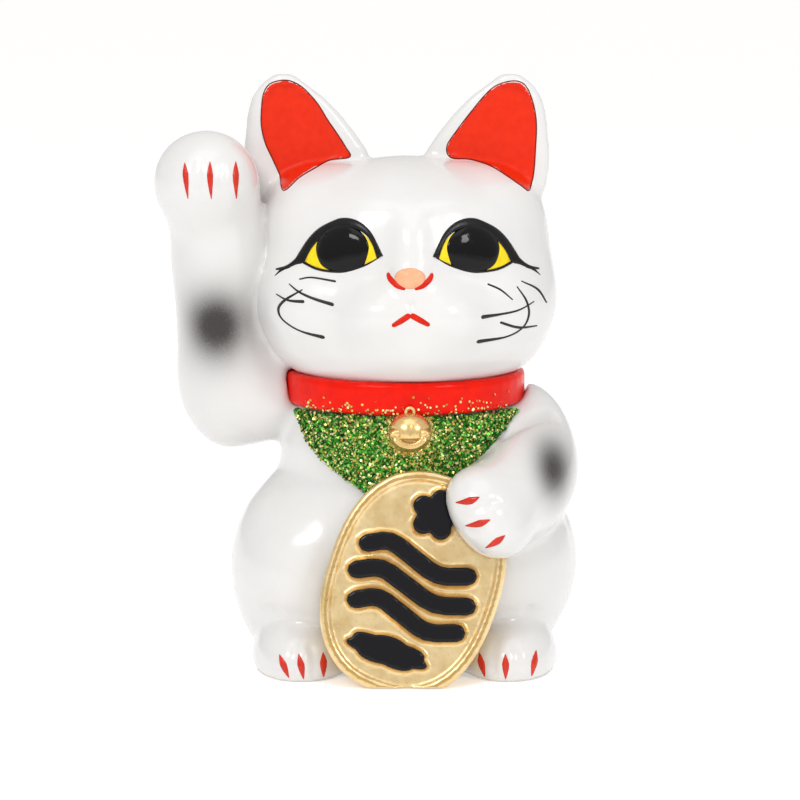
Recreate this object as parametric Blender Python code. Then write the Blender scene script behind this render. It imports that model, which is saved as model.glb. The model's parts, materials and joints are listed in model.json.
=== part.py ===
"""Beckoning cat coin bank: glazed slip-cast ceramic castings luted together, with a rubber base stopper.

The cat faces -Y and sits on z = 0. "Right" and "left" are the cat's own sides, so its raised right
arm is at -X. Every size below is in millimetres; meshes are written in metres.
"""

import math

import bmesh
import bpy
import numpy as np
from mathutils import Matrix, Vector

MM = 0.001
GAP = 0.35  # between two castings where they are luted together
WALL = 4.5  # thickness of the slip-cast shells
BLEND = 2.6  # how softly the forms of one casting run into each other
REACH = 120.0  # further than any form lies from its own axis
HALVINGS = 34  # bisection steps that place a vertex on a form
BODY_FREQUENCY = 11  # how finely the torso and the head are divided; their cutters match
TORSO_AXIS = ((0.5, 0, 26), (1, 0, 62))
HEAD_AXIS = ((2, 0, 104), (2, 0, 126))
KOBAN_ARM_AXIS = ((38, -4, 61), (28, -42, 53))

NECK_Z = 85.0  # the head casting stands on the torso at this height
FLOOR_THICKNESS = 6.5

# Each form is (centre, radii).
TORSO_FORMS = [
    ((-27.5, -3, 28), (25.5, 35, 31)),
    ((28.5, -3, 30), (27, 35, 30.5)),
    ((0.5, 11, 36), (41, 31, 42)),
    ((0.5, -8, 40), (33, 34, 34)),
    ((1, -1, 66), (38, 34, 23)),
    ((0, 0, 8), (45, 40, 17)),
    ((1.5, 0, 81), (33.5, 31.5, 13)),
]
HEAD_FORMS = [
    ((2, 3, 121.5), (44.5, 37, 34)),
    ((-20, -6, 112), (25, 27, 21)),
    ((22.5, -6, 112), (25.5, 27, 21)),
    ((2.5, -3, 99.5), (40, 35, 13.5)),
    ((-24, 4, 136.5), (19.5, 25, 17)),
    ((25, 4, 136.5), (19.5, 25, 17)),
    ((3, -10, 133), (30, 24, 19)),
    ((-5, -33, 110), (12.5, 9.5, 9.5)),
    ((12.5, -33, 110), (12.5, 9.5, 9.5)),
    ((4.5, -29, 100), (14, 9.5, 8)),
    ((4, -32, 124), (7.5, 8, 15)),
    ((1.5, 0, 90), (33, 31, 12)),
]
RAISED_ARM_FORMS = [
    ((-54.2, 0, 104), (15, 15.5, 38)),
    ((-56.3, -6, 128), (14, 15, 25)),
    ((-59.5, -12, 149), (15.8, 16.5, 15.5)),
    ((-51.5, 2, 85), (16.5, 15.5, 17)),
    ((-40, 2, 79.5), (20, 15, 12)),
]
KOBAN_ARM_FORMS = [
    ((37.5, -1, 62), (16.5, 18.5, 23.5)),
    ((40, -12, 59.5), (14.5, 18, 17)),
    ((36.5, -25, 55.5), (14, 15, 15.5)),
    ((31, -36, 53.5), (12.5, 13.5, 13.5)),
    ((23, -46, 58), (8.5, 9.5, 7.5)),
    ((26, -48, 52), (8.7, 10, 7.2)),
    ((30, -48, 46.5), (8.5, 10, 7)),
]
RIGHT_FOOT_FORMS = [((-30, -22, 4), (15.5, 25, 14))]
LEFT_FOOT_FORMS = [((33, -22, 4), (15.3, 25, 14))]
TAIL_FORMS = [
    ((6, 38, 13), (10, 9, 9)),
    ((13, 42, 17), (9.5, 8.5, 8.5)),
    ((20, 42, 24), (8.5, 8, 9)),
]

# The ear's outline: height, distance of its outer and inner edge from the ears' mid line, half depth.
EAR_MID_X = -1.0
EAR_LEVELS = [
    (136, 37.0, 20.0, 9.0),
    (141, 43.5, 16.0, 10.0),
    (146, 46.4, 12.5, 10.5),
    (152, 47.2, 9.5, 9.8),
    (157, 47.4, 9.0, 9.0),
    (163, 46.8, 13.2, 7.8),
    (169, 46.1, 18.0, 6.4),
    (174, 44.7, 23.0, 5.0),
    (178, 41.9, 28.4, 3.6),
    (181, 37.8, 32.4, 2.1),
]
EAR_DISH_LEVELS = [
    (147.0, 37.0, 35.5),
    (151.0, 40.0, 28.0),
    (156.0, 42.0, 17.5),
    (158.5, 42.5, 16.4),
    (163.0, 42.5, 18.6),
    (169.0, 42.2, 22.2),
    (174.0, 41.0, 26.6),
    (178.2, 38.0, 31.6),
]
EAR_FRONT_Y = 3.0
EAR_FRONT_DEPTH = 3.4
EAR_DISH_DEPTH = 1.7

COLLAR_CENTRE = (1.5, 0.0)
COLLAR_RADII = (37.6, 36.0)  # outside, across and fore-and-aft
COLLAR_THICKNESS = 4.2
COLLAR_Z = (80.0, 90.0)

BIB_LIFT = 0.8  # off the chest, so that its flat facets stay clear of the curves under it
BIB_THICKNESS = 1.3
BIB_TOP_Z = 79.6
BIB_LOW_Z = 53.5
BIB_HALF_ANGLE = 66.0
BIB_CURVE = 1.5  # exponent of the bib's U-shaped lower edge

BELL_X = 3.0
BELL_Z = 75.4
BELL_RADIUS = 5.8
BELL_PROUD = 2.6  # how far the bell's centre stands in front of the bib

KOBAN_CENTRE = (4.0, -48.5, 31.0)
KOBAN_HALF = (26.2, 34.0)
KOBAN_EXPONENT = 2.4
KOBAN_TILT = 18.4
KOBAN_LEAN = 12.0
KOBAN_DEPTH = 17.0
KOBAN_RIM = 2.4
KOBAN_RECESS = 1.1
RELIEF_HEIGHT = 2.4
RELIEF_DRAFT = 0.9

BUNG_RADIUS = 12.0
BUNG_RECESS_RADIUS = 15.0
BUNG_RECESS_DEPTH = 2.6
BUNG_LENGTH = 8.5

SLOT_SIZE = (34.0, 5.2)
SLOT_Z = 67.0

COLOURS = {
    "glaze": ((0.93, 0.92, 0.90), 0.12, 0.0),
    "red_enamel": ((0.86, 0.07, 0.02), 0.2, 0.0),
    "glitter": ((0.10, 0.30, 0.06), 0.55, 0.3),
    "gold": ((0.83, 0.62, 0.28), 0.3, 1.0),
    "black_enamel": ((0.02, 0.02, 0.025), 0.15, 0.0),
    "rubber": ((0.16, 0.16, 0.17), 0.7, 0.0),
}


def clear_scene():
    for obj in list(bpy.data.objects):
        bpy.data.objects.remove(obj)


def material(name):
    found = bpy.data.materials.get(name)
    if found:
        return found
    colour, roughness, metallic = COLOURS[name]
    made = bpy.data.materials.new(name)
    made.use_nodes = True
    shader = made.node_tree.nodes["Principled BSDF"]
    shader.inputs["Base Color"].default_value = (*colour, 1)
    shader.inputs["Roughness"].default_value = roughness
    shader.inputs["Metallic"].default_value = metallic
    return made


def add_object(name, bm, finish, smooth=True):
    """Turns a bmesh in millimetres into an object in metres."""
    bmesh.ops.recalc_face_normals(bm, faces=bm.faces)
    mesh = bpy.data.meshes.new(name)
    bm.to_mesh(mesh)
    bm.free()
    mesh.transform(Matrix.Scale(MM, 4))
    mesh.materials.append(material(finish))
    if smooth:
        mesh.shade_smooth()
        mesh.set_sharp_from_angle(angle=math.radians(40))
    obj = bpy.data.objects.new(name, mesh)
    bpy.context.scene.collection.objects.link(obj)
    return obj


def as_cutter(obj):
    obj.hide_render = True
    obj.display_type = "WIRE"
    return obj


def cut(obj, *cutters):
    for cutter in cutters:
        modifier = obj.modifiers.new("cut_" + cutter.name, "BOOLEAN")
        modifier.operation = "DIFFERENCE"
        modifier.solver = "EXACT"
        modifier.object = cutter


# Fields: negative inside a form, near enough millimetres from its surface.


def ellipsoid_field(points, centre, radii):
    offset = points - np.array(centre, float)
    scaled = np.linalg.norm(offset / radii, axis=1)
    slope = np.linalg.norm(offset / np.square(radii), axis=1)
    return scaled * (scaled - 1) / np.maximum(slope, 1e-9)


def blended_field(forms, grow=0.0):
    """The smooth union of the forms, moved outwards by grow."""

    def field(points):
        parts = [ellipsoid_field(points, c, np.array(r, float)) for c, r in forms]
        stack = np.stack(parts)
        nearest = stack.min(axis=0)
        return nearest - BLEND * np.log(np.exp((nearest - stack) / BLEND).sum(axis=0)) - grow

    return field


def walled_field(forms, floor_z, ceiling_z):
    """The hollow inside a casting: its form less the wall, between a floor and a ceiling."""
    inside = blended_field(forms, grow=-WALL)

    def field(points):
        return np.maximum.reduce([inside(points), floor_z - points[:, 2], points[:, 2] - ceiling_z])

    return field


def distance_along(field, starts, directions):
    """How far each ray from inside a form goes before it leaves it."""
    near = np.zeros(len(starts))
    far = np.full(len(starts), REACH)
    for _ in range(HALVINGS):
        middle = (near + far) / 2
        inside = field(starts + directions * middle[:, None]) < 0
        near = np.where(inside, middle, near)
        far = np.where(inside, far, middle)
    return near


def geodesic_ball(frequency):
    bm = bmesh.new()
    bmesh.ops.create_icosphere(bm, subdivisions=1, radius=1.0)
    if frequency > 1:
        bmesh.ops.subdivide_edges(bm, edges=bm.edges[:], cuts=frequency - 1, use_grid_fill=True)
    for vert in bm.verts:
        vert.co.normalize()
    return bm


def wrapped(field, start, end, frequency):
    """A ball of triangles whose points are pushed out from the line start-end onto the field's surface."""
    bm = geodesic_ball(frequency)
    directions = np.array([v.co for v in bm.verts], float)
    start, end = np.array(start, float), np.array(end, float)
    axis = (end - start) / np.linalg.norm(end - start)
    share = (1 + directions @ axis) / 2
    starts = start + share[:, None] * (end - start)
    placed = starts + directions * distance_along(field, starts, directions)[:, None]
    for vert, point in zip(bm.verts, placed):
        vert.co = point
    return bm


def trim_flat(bm, height, keep_above=True):
    """Cuts the mesh level at a height and closes it with one flat face."""
    bmesh.ops.bisect_plane(
        bm,
        geom=bm.verts[:] + bm.edges[:] + bm.faces[:],
        dist=1e-5,
        plane_co=(0, 0, height),
        plane_no=(0, 0, 1),
        clear_inner=keep_above,
        clear_outer=not keep_above,
    )
    rim = [e for e in bm.edges if e.is_boundary]
    bmesh.ops.edgeloop_fill(bm, edges=rim)


def lofted(rings):
    """A closed solid through rings of equally many points, with flat ends."""
    bm = bmesh.new()
    loops = [[bm.verts.new(p) for p in ring] for ring in rings]
    count = len(loops[0])
    for low, high in zip(loops, loops[1:]):
        for i in range(count):
            j = (i + 1) % count
            bm.faces.new((low[i], low[j], high[j], high[i]))
    bm.faces.new(loops[0][::-1])
    bm.faces.new(loops[-1])
    return bm


def ring_solid(sections, segments, centre):
    """A closed ring: each section point is (radius across, radius fore-and-aft, z)."""
    bm = bmesh.new()
    columns = []
    for i in range(segments):
        angle = 2 * math.pi * i / segments
        across, along = math.cos(angle), math.sin(angle)
        columns.append(
            [bm.verts.new((centre[0] + a * across, centre[1] + b * along, z)) for a, b, z in sections]
        )
    count = len(sections)
    for i in range(segments):
        here, there = columns[i], columns[(i + 1) % segments]
        for j in range(count):
            k = (j + 1) % count
            bm.faces.new((here[j], there[j], there[k], here[k]))
    return bm


def cylinder_cutter(name, radius, z_low, z_high, segments=40):
    bm = bmesh.new()
    bmesh.ops.create_cone(
        bm, cap_ends=True, segments=segments, radius1=radius, radius2=radius, depth=z_high - z_low
    )
    bmesh.ops.translate(bm, verts=bm.verts, vec=(0, 0, (z_low + z_high) / 2))
    return as_cutter(add_object(name, bm, "rubber"))


def box_cutter(name, low, high):
    bm = bmesh.new()
    bmesh.ops.create_cube(bm, size=1.0)
    low, high = Vector(low), Vector(high)
    bmesh.ops.scale(bm, verts=bm.verts, vec=high - low)
    bmesh.ops.translate(bm, verts=bm.verts, vec=(low + high) / 2)
    return as_cutter(add_object(name, bm, "rubber"))


def form_cutter(name, forms, axis, frequency, grow=GAP):
    """The room one form takes in its neighbours."""
    bm = wrapped(blended_field(forms, grow), *axis, frequency)
    return as_cutter(add_object(name, bm, "glaze"))


# The castings


def make_torso(collar_space):
    bm = wrapped(blended_field(TORSO_FORMS), *TORSO_AXIS, BODY_FREQUENCY)
    trim_flat(bm, 0.0)
    trim_flat(bm, NECK_Z, keep_above=False)
    torso = add_object("torso", bm, "glaze")
    hollow = wrapped(walled_field(TORSO_FORMS, FLOOR_THICKNESS, NECK_Z - WALL), *TORSO_AXIS, 6)
    cutters = [
        as_cutter(add_object("torso_hollow", hollow, "glaze")),
        cylinder_cutter("bung_hole", BUNG_RADIUS, -1, FLOOR_THICKNESS + 4),
        cylinder_cutter("bung_recess", BUNG_RECESS_RADIUS, -1, BUNG_RECESS_DEPTH),
        box_cutter(
            "coin_slot",
            (-SLOT_SIZE[0] / 2, 20, SLOT_Z - SLOT_SIZE[1] / 2),
            (SLOT_SIZE[0] / 2, 60, SLOT_Z + SLOT_SIZE[1] / 2),
        ),
        collar_space,
    ]
    cut(torso, *cutters)


def make_head(collar_space):
    bm = wrapped(blended_field(HEAD_FORMS), *HEAD_AXIS, BODY_FREQUENCY)
    trim_flat(bm, NECK_Z + GAP)
    head = add_object("head", bm, "glaze")
    hollow = wrapped(walled_field(HEAD_FORMS, NECK_Z - 5, 200), *HEAD_AXIS, 5)
    cut(head, as_cutter(add_object("head_hollow", hollow, "glaze")), collar_space)


def ear_ring(z, outer, inner, back, side):
    """One level of the ear: a rounded back and a flatter front face."""
    middle, half = (outer + inner) / 2, (outer - inner) / 2
    points = []
    for i in range(24):
        angle = 2 * math.pi * i / 24
        across, deep = math.cos(angle), math.sin(angle)
        y = back * deep if deep > 0 else -EAR_FRONT_DEPTH * math.sqrt(-deep)
        points.append((EAR_MID_X + side * (middle + half * across), EAR_FRONT_Y + y, z))
    return points


def make_ear(name, side, head_space):
    rings = [ear_ring(z, outer, inner, back, side) for z, outer, inner, back in EAR_LEVELS]
    ear = add_object(name, lofted(rings), "glaze")
    outline = [(outer, z) for z, outer, _ in EAR_DISH_LEVELS]
    outline += [(inner, z) for z, _, inner in reversed(EAR_DISH_LEVELS)]
    floor = EAR_FRONT_Y - EAR_FRONT_DEPTH + EAR_DISH_DEPTH
    dish = lofted([[(EAR_MID_X + side * x, y, z) for x, z in outline] for y in (-30, floor)])
    cut(ear, as_cutter(add_object(name + "_dish", dish, "glaze")), head_space)


def make_raised_arm(torso_space, head_space, neck_space):
    start, end = (-54, 1, 84), (-59, -9, 146)
    bm = wrapped(blended_field(RAISED_ARM_FORMS), start, end, 8)
    arm = add_object("raised_arm", bm, "glaze")
    hollow = wrapped(blended_field(RAISED_ARM_FORMS, grow=-WALL), start, end, 5)
    inlet = box_cutter("raised_arm_inlet", (-48, -4, 72), (-20, 8, 82))
    cut(
        arm,
        as_cutter(add_object("raised_arm_hollow", hollow, "glaze")),
        inlet,
        torso_space,
        head_space,
        neck_space,
    )


def make_koban_arm(torso_space, head_space, neck_space):
    bm = wrapped(blended_field(KOBAN_ARM_FORMS), *KOBAN_ARM_AXIS, 8)
    cut(add_object("koban_arm", bm, "glaze"), torso_space, head_space, neck_space)


def foot_axis(forms):
    x = forms[0][0][0]
    return (x, -12, 3), (x, -36, 3)


def make_foot(name, forms, torso_space):
    bm = wrapped(blended_field(forms), *foot_axis(forms), 5)
    trim_flat(bm, 0.0)
    cut(add_object(name, bm, "glaze"), torso_space)


def make_tail(torso_space):
    bm = wrapped(blended_field(TAIL_FORMS), (8, 39, 14), (19, 42, 23), 5)
    trim_flat(bm, 0.0)
    cut(add_object("tail", bm, "glaze"), torso_space)


# The collar, bib and bell


def collar_sections(thickness, z_low, z_high, outer):
    """A band's section with rounded outer edges."""
    soft = 1.6
    inner = (outer[0] - thickness, outer[1] - thickness)
    points = [(*inner, z_low), (outer[0] - soft, outer[1] - soft, z_low)]
    corners = ((z_low + soft, -1), (z_high - soft, 1))
    for centre_z, way in corners:
        steps = range(1, 4) if way < 0 else range(0, 3)
        for i in steps:
            turn = math.radians(30 * i)
            reach = math.sin(turn) if way < 0 else math.cos(turn)
            rise = math.cos(turn) if way < 0 else math.sin(turn)
            points.append(
                (
                    outer[0] - soft + soft * reach,
                    outer[1] - soft + soft * reach,
                    centre_z + way * soft * rise,
                )
            )
    points += [(outer[0] - soft, outer[1] - soft, z_high), (*inner, z_high)]
    return points


def make_collar():
    bm = ring_solid(
        collar_sections(COLLAR_THICKNESS, *COLLAR_Z, COLLAR_RADII), 48, COLLAR_CENTRE
    )
    add_object("collar", bm, "red_enamel")


def make_collar_space():
    """The collar's room in the castings round it."""
    outer = tuple(r + GAP for r in COLLAR_RADII)
    bm = ring_solid(
        collar_sections(COLLAR_THICKNESS + 2 * GAP, COLLAR_Z[0] - GAP, COLLAR_Z[1] + GAP, outer),
        48,
        COLLAR_CENTRE,
    )
    return as_cutter(add_object("collar_space", bm, "red_enamel"))


def make_neck_space():
    """The whole disc inside and including the collar, kept clear by both arms."""
    outer = tuple(r + GAP for r in COLLAR_RADII)
    rings = []
    for z in (COLLAR_Z[0] - GAP, COLLAR_Z[1] + GAP):
        ring = []
        for i in range(48):
            angle = 2 * math.pi * i / 48
            x = COLLAR_CENTRE[0] + outer[0] * math.cos(angle)
            ring.append((x, COLLAR_CENTRE[1] + outer[1] * math.sin(angle), z))
        rings.append(ring)
    return as_cutter(add_object("neck_space", lofted(rings), "red_enamel"))


def bib_low_z(angle):
    share = abs(angle) / BIB_HALF_ANGLE
    return BIB_LOW_Z + (BIB_TOP_Z - 1.5 - BIB_LOW_Z) * share**BIB_CURVE


def make_bib(koban_arm_space):
    """A thin curved apron that lies on the chest and shoulders."""
    field = blended_field(TORSO_FORMS + RAISED_ARM_FORMS[3:] + KOBAN_ARM_FORMS[:1])
    columns, rows = 28, 8
    layers = []
    for lift in (BIB_LIFT, BIB_LIFT + BIB_THICKNESS):
        starts, directions = [], []
        for i in range(columns + 1):
            angle = -BIB_HALF_ANGLE + 2 * BIB_HALF_ANGLE * i / columns
            low = bib_low_z(angle)
            for j in range(rows + 1):
                starts.append((COLLAR_CENTRE[0], 0, low + (BIB_TOP_Z - low) * j / rows))
                turn = math.radians(angle)
                directions.append((math.sin(turn), -math.cos(turn), 0))
        starts, directions = np.array(starts, float), np.array(directions)
        distance = distance_along(field, starts, directions) + lift
        layers.append(starts + directions * distance[:, None])
    bm = bmesh.new()
    inner, outer = [[bm.verts.new(p) for p in layer] for layer in layers]

    def at(i, j):
        return i * (rows + 1) + j

    for i in range(columns):
        for j in range(rows):
            corners = (at(i, j), at(i + 1, j), at(i + 1, j + 1), at(i, j + 1))
            bm.faces.new([outer[k] for k in corners])
            bm.faces.new([inner[k] for k in reversed(corners)])
    edge = [at(i, 0) for i in range(columns)] + [at(columns, j) for j in range(rows)]
    edge += [at(i, rows) for i in range(columns, 0, -1)] + [at(0, j) for j in range(rows, 0, -1)]
    for k, following in zip(edge, edge[1:] + edge[:1]):
        bm.faces.new((inner[k], inner[following], outer[following], outer[k]))
    cut(add_object("bib", bm, "glitter"), koban_arm_space)


def bell_centre():
    field = blended_field(TORSO_FORMS)
    start = np.array([[BELL_X, 0.0, BELL_Z]])
    front = distance_along(field, start, np.array([[0.0, -1.0, 0.0]]))[0]
    return Vector((BELL_X, -front - BIB_LIFT - BIB_THICKNESS - BELL_PROUD, BELL_Z))


def make_bell(chest_space, collar_space):
    centre = bell_centre()
    bm = geodesic_ball(6)
    bmesh.ops.scale(bm, verts=bm.verts, vec=(BELL_RADIUS,) * 3)
    bmesh.ops.translate(bm, verts=bm.verts, vec=centre)
    bell = add_object("bell", bm, "gold")
    slot = box_cutter(
        "bell_slot",
        centre + Vector((-3.4, -BELL_RADIUS - 1, -3.2)),
        centre + Vector((3.4, -BELL_RADIUS + 2.2, -2.0)),
    )
    cut(bell, slot, chest_space, collar_space)
    loop = bmesh.new()
    loop_radius, wire = 1.2, 0.55
    segments, sides = 20, 8
    for i in range(segments):
        for j in range(sides):
            angle, turn = 2 * math.pi * i / segments, 2 * math.pi * j / sides
            reach = loop_radius + wire * math.cos(turn)
            loop.verts.new(
                (reach * math.cos(angle), wire * math.sin(turn), reach * math.sin(angle))
            )
    loop.verts.ensure_lookup_table()
    for i in range(segments):
        for j in range(sides):
            k, m = (i + 1) % segments, (j + 1) % sides
            corners = (i * sides + j, k * sides + j, k * sides + m, i * sides + m)
            loop.faces.new([loop.verts[c] for c in corners])
    rise = BELL_RADIUS + 0.6
    bmesh.ops.translate(loop, verts=loop.verts, vec=centre + Vector((0, -0.6, rise)))
    ring = add_object("bell_loop", loop, "gold")
    bell_space = geodesic_ball(8)
    bmesh.ops.scale(bell_space, verts=bell_space.verts, vec=(BELL_RADIUS + GAP,) * 3)
    bmesh.ops.translate(bell_space, verts=bell_space.verts, vec=centre)
    cut(ring, as_cutter(add_object("bell_space", bell_space, "gold")))


# The koban: a gold coin plaque with relief ornament


def koban_frame():
    """Local x across the coin, y up along it, z out of its face."""
    tilt = Matrix.Rotation(math.radians(KOBAN_TILT), 4, "Y")
    lean = Matrix.Rotation(math.radians(-KOBAN_LEAN), 4, "X")
    stand = Matrix.Rotation(math.radians(90), 4, "X")
    return Matrix.Translation(KOBAN_CENTRE) @ lean @ tilt @ stand


def koban_outline(inset, height, segments=56):
    half_x, half_y = KOBAN_HALF[0] - inset, KOBAN_HALF[1] - inset
    power = 2 / KOBAN_EXPONENT
    points = []
    for i in range(segments):
        angle = 2 * math.pi * i / segments
        c, s = math.cos(angle), math.sin(angle)
        x = half_x * math.copysign(abs(c) ** power, c)
        y = half_y * math.copysign(abs(s) ** power, s)
        points.append((x, y, height))
    return points


def make_koban(*spaces):
    soft = 0.8
    rings = [
        koban_outline(0, -KOBAN_DEPTH),
        koban_outline(0, -soft),
        koban_outline(soft, 0),
        koban_outline(KOBAN_RIM, 0),
        koban_outline(KOBAN_RIM + soft, -KOBAN_RECESS),
    ]
    bm = lofted(rings)
    bm.transform(koban_frame())
    ground = box_cutter("ground_space", (-60, -90, -30), (60, 60, 0.4))
    cut(add_object("koban", bm, "gold"), ground, *spaces)


def smooth_path(points, samples):
    """Catmull-Rom points through a short list of points, ends included."""
    points = [np.array(p, float) for p in points]
    padded = [2 * points[0] - points[1], *points, 2 * points[-1] - points[-2]]
    made = []
    spans = len(points) - 1
    for n in range(samples + 1):
        at = min(n / samples * spans, spans - 1e-9)
        i, t = int(at), at - int(at)
        a, b, c, d = padded[i : i + 4]
        made.append(
            0.5 * (2 * b + (c - a) * t + (2 * a - 5 * b + 4 * c - d) * t**2 + (3 * b - a - 3 * c + d) * t**3)
        )
    return np.array(made)


def ribbon_outline(points, width, inset, samples=12):
    """The outline of a stroke with round ends, drawn in by inset."""
    path = smooth_path(points, samples)
    along = np.gradient(path, axis=0)
    along /= np.linalg.norm(along, axis=1)[:, None]
    side = np.stack([-along[:, 1], along[:, 0]], axis=1)
    half = width / 2 - inset
    left = path + side * half
    right = path - side * half
    cap_turns = [math.radians(a) for a in (45, 90, 135)]
    tip = [path[-1] + half * (side[-1] * math.cos(a) + along[-1] * math.sin(a)) for a in cap_turns]
    tail = [path[0] + half * (-side[0] * math.cos(a) - along[0] * math.sin(a)) for a in cap_turns]
    return [tuple(p) for p in [*left, *tip, *right[::-1], *tail]]


def blossom_outline(centre, radius, inset, points=50):
    """Five round petals."""
    outline = []
    for i in range(points):
        angle = 2 * math.pi * i / points
        lobe = abs(math.cos(2.5 * (angle - math.pi / 2))) ** 0.7
        reach = radius * (0.66 + 0.34 * lobe) - inset
        outline.append((centre[0] + reach * math.cos(angle), centre[1] + reach * math.sin(angle)))
    return outline


def cloud_outline(centre, half_width, half_height, inset, points=56):
    """A long cloud with seven soft lobes."""
    outline = []
    for i in range(points):
        angle = 2 * math.pi * i / points
        lobe = 0.86 + 0.14 * abs(math.cos(3.5 * (angle - math.pi / 2)))
        x = (half_width - inset) * lobe * math.cos(angle)
        y = (half_height - inset) * lobe * math.sin(angle)
        outline.append((centre[0] + x, centre[1] + y))
    return outline


def relief_outlines(inset):
    """The ornament: a plum blossom over three waves over a cloud."""
    wave = [(-1.0, 0.0), (-0.6, 0.5), (-0.1, 0.05), (0.45, -0.45), (1.0, 0.0)]

    def crest(middle_y, reach, shift):
        return [(shift + x * reach, middle_y + y * 5.4) for x, y in wave]

    return {
        "koban_blossom": blossom_outline((0.0, 21.8), 8.4, inset),
        "koban_wave_upper": ribbon_outline(crest(7.2, 16.0, -1.0), 6.6, inset),
        "koban_wave_middle": ribbon_outline(crest(-1.4, 17.6, 0.0), 6.6, inset),
        "koban_wave_lower": ribbon_outline(crest(-10.0, 16.0, 1.0), 6.6, inset),
        "koban_cloud": cloud_outline((-1.0, -21.8), 13.6, 5.2, inset),
    }


def make_relief(koban_arm_space):
    frame = koban_frame()
    base, face = relief_outlines(0.0), relief_outlines(RELIEF_DRAFT)
    low = GAP - KOBAN_RECESS
    for name, outline in base.items():
        rings = [[(x, y, low) for x, y in outline]]
        rings.append([(x, y, low + RELIEF_HEIGHT) for x, y in face[name]])
        bm = lofted(rings)
        bm.transform(frame)
        cut(add_object(name, bm, "black_enamel"), koban_arm_space)


def make_stopper():
    """A rubber bung with a flange and a pull tab in the recess of the base."""
    bottom = 0.6
    flange = BUNG_RECESS_DEPTH - GAP
    body = BUNG_RADIUS - GAP
    profile = [
        (0.0, bottom + 1.0),
        (4.0, bottom + 1.0),
        (4.6, bottom),
        (13.6, bottom),
        (14.2, bottom + 0.6),
        (14.2, flange),
        (body, flange),
        (body, flange + 1.0),
        (body - 0.9, flange + 2.0),
        (body - 0.9, flange + BUNG_LENGTH - 1.2),
        (body - 2.0, flange + BUNG_LENGTH),
        (0.0, flange + BUNG_LENGTH),
    ]
    bm = bmesh.new()
    verts = [bm.verts.new((x, 0, z)) for x, z in profile]
    edges = [bm.edges.new(pair) for pair in zip(verts, verts[1:])]
    bmesh.ops.spin(
        bm,
        geom=verts + edges,
        cent=(0, 0, 0),
        axis=(0, 0, 1),
        angle=2 * math.pi,
        steps=36,
        use_merge=True,
    )
    bmesh.ops.remove_doubles(bm, verts=bm.verts, dist=1e-4)
    add_object("stopper", bm, "rubber")


def centre_on_footprint():
    """Moves everything so that the middle of the whole figure's box stands on the origin."""
    bpy.context.view_layer.update()
    graph = bpy.context.evaluated_depsgraph_get()
    corners = []
    for obj in bpy.data.objects:
        if not obj.hide_render:
            mesh = obj.evaluated_get(graph).to_mesh()
            corners += [obj.matrix_world @ v.co for v in mesh.vertices]
    xs, ys = [c.x for c in corners], [c.y for c in corners]
    shift = Vector((-(min(xs) + max(xs)) / 2, -(min(ys) + max(ys)) / 2, 0))
    figure = bpy.data.objects.new("figure", None)
    bpy.context.scene.collection.objects.link(figure)
    for obj in list(bpy.data.objects):
        if obj != figure:
            obj.parent = figure
    figure.location = shift


def main():
    clear_scene()
    collar_space = make_collar_space()
    neck_space = make_neck_space()
    torso_space = form_cutter("torso_space", TORSO_FORMS, TORSO_AXIS, BODY_FREQUENCY)
    head_space = form_cutter("head_space", HEAD_FORMS, HEAD_AXIS, BODY_FREQUENCY)
    koban_arm_space = form_cutter("koban_arm_space", KOBAN_ARM_FORMS, KOBAN_ARM_AXIS, 8)
    chest_space = form_cutter(
        "chest_space",
        TORSO_FORMS + KOBAN_ARM_FORMS[:1],
        TORSO_AXIS,
        BODY_FREQUENCY,
        grow=BIB_LIFT + BIB_THICKNESS + GAP,
    )
    foot_spaces = [
        form_cutter("right_foot_space", RIGHT_FOOT_FORMS, foot_axis(RIGHT_FOOT_FORMS), 5),
        form_cutter("left_foot_space", LEFT_FOOT_FORMS, foot_axis(LEFT_FOOT_FORMS), 5),
    ]
    make_torso(collar_space)
    make_head(collar_space)
    make_ear("right_ear", -1, head_space)
    make_ear("left_ear", 1, head_space)
    make_raised_arm(torso_space, head_space, neck_space)
    make_koban_arm(torso_space, head_space, neck_space)
    make_foot("right_foot", RIGHT_FOOT_FORMS, torso_space)
    make_foot("left_foot", LEFT_FOOT_FORMS, torso_space)
    make_tail(torso_space)
    make_collar()
    make_bib(koban_arm_space)
    make_bell(chest_space, collar_space)
    make_koban(chest_space, koban_arm_space, *foot_spaces)
    make_relief(koban_arm_space)
    make_stopper()
    centre_on_footprint()


main()
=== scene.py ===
"""Looks of the beckoning cat coin bank: glossy white glaze, painted face, glitter bib and gilt coin.

Sizes are in millimetres in the figure's own frame: x from its middle line, y from its axis, z from the
ground. The collar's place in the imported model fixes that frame.
"""

import json
import math

import bmesh
import bpy
import numpy as np
from mathutils import Matrix, Vector
from mathutils.bvhtree import BVHTree

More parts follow.
